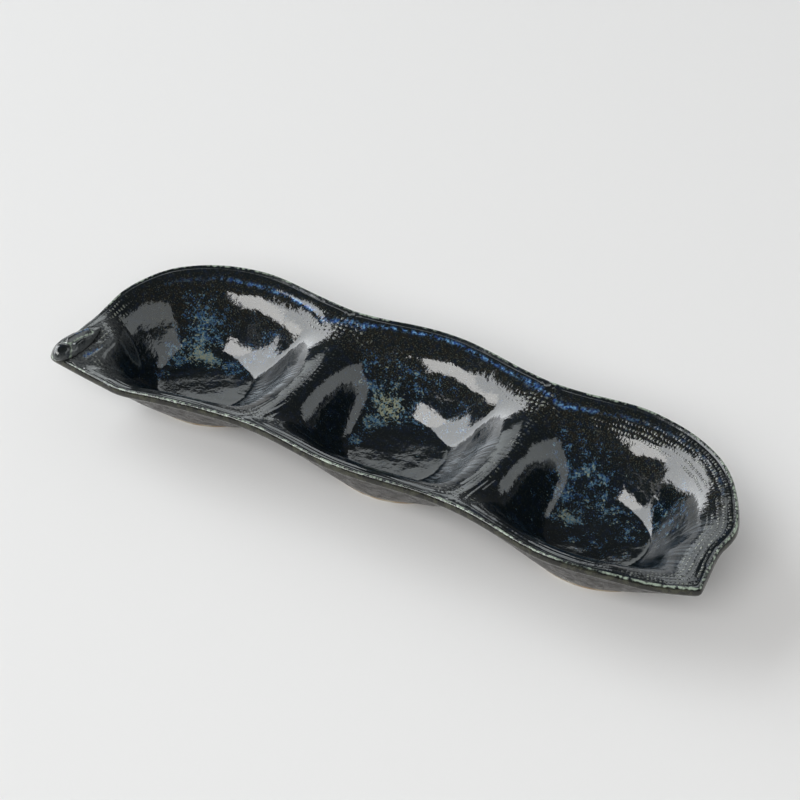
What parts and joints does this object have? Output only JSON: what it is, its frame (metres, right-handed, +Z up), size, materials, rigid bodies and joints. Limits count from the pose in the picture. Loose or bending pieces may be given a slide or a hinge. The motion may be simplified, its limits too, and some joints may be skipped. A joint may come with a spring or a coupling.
{
  "type": "three-compartment dish",
  "caption": "Long pod-shaped glazed stoneware dish with round wells in a row, a moulded rim, a stalk at one corner and low foot rings; holds condiments, dips or snacks.",
  "frame": {"origin": "middle of the part's box, on the table", "axes": "+X along the pod from the stalk towards the beak, +Y towards the bowed back edge, +Z up"},
  "size_m": [0.2687, 0.0926, 0.0355],
  "materials": {
    "clay": "gloss",
    "bare_foot": "matt",
    "inner_glaze": "gloss",
    "outer_glaze": "gloss"
  },
  "bodies": {
    "root": {"pod_body": "clay", "foot_ring_left": "bare_foot", "foot_ring_middle": "bare_foot", "foot_ring_right": "bare_foot", "stalk": "inner_glaze", "inner_glaze": "inner_glaze", "outer_glaze": "outer_glaze"}
  },
  "joints": []
}
